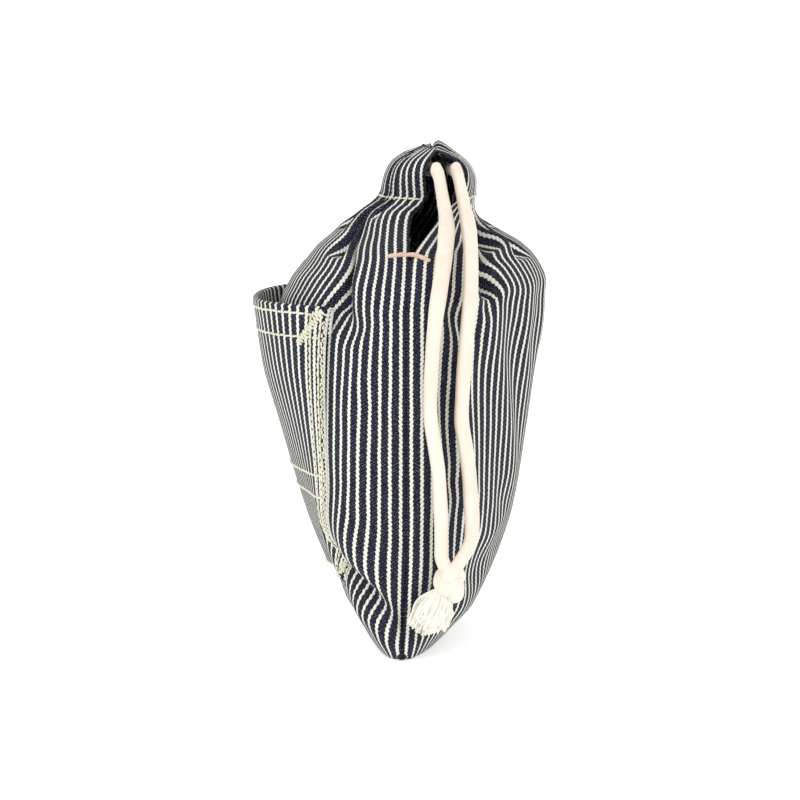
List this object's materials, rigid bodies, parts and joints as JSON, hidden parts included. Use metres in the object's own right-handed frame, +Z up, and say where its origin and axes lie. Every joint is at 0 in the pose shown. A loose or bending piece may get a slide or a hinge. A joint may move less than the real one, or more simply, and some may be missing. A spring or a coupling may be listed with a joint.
{
  "type": "drawstring sack",
  "caption": "Small striped denim drawstring sack with a patch pocket, closed, standing on its bottom seam, its knotted cotton cord hanging down one side.",
  "frame": {"origin": "under the middle of the sack, on the surface it stands on", "axes": "+X along the sack's width to the side where the drawcord comes out, -Y towards the front with the pocket, +Z up"},
  "size_m": [0.1666, 0.1057, 0.1755],
  "materials": {
    "striped_denim": "indigo twill with cream stripes",
    "topstitch_thread": "cream cotton thread",
    "tack_thread": "peach bar tack",
    "overlock": "overlocked raw edges",
    "cotton_cord": "soft unbleached cotton"
  },
  "bodies": {
    "sack": {"front_panel": "striped_denim", "back_panel": "striped_denim", "right_side_seam": "overlock", "left_side_seam": "overlock", "bottom_seam": "overlock", "right_slit_hems": "striped_denim", "left_slit_hems": "striped_denim", "right_slit_tack": "tack_thread", "left_slit_tack": "tack_thread", "front_casing": "striped_denim", "back_casing": "striped_denim", "front_casing_stitching": "topstitch_thread", "back_casing_stitching": "topstitch_thread", "pocket_panel": "striped_denim", "pocket_hem": "striped_denim", "pocket_hem_stitching": "topstitch_thread", "pocket_lower_stitching": "topstitch_thread", "pocket_side_stitching": "topstitch_thread", "pocket_bottom_stitching": "topstitch_thread", "pocket_corner_tacks": "topstitch_thread", "drawcord_loop": "cotton_cord"},
    "drawcord_lead": {"drawcord_lead": "cotton_cord"},
    "drawcord_tail": {"drawcord_front_strand": "cotton_cord", "drawcord_back_strand": "cotton_cord", "drawcord_knot": "cotton_cord", "drawcord_front_end": "cotton_cord", "drawcord_back_end": "cotton_cord"}
  },
  "joints": [
    {"name": "drawcord_pull", "type": "slide", "parent": "sack", "child": "drawcord_lead", "axis": [1, 0, 0], "range_m": [0, 0.012]},
    {"name": "drawcord_lift", "type": "hinge", "parent": "drawcord_lead", "child": "drawcord_tail", "pos_m": [0.026, 0.0155, 0.1663], "axis": [0, -1, 0], "range_deg": [0, 90]}
  ]
}
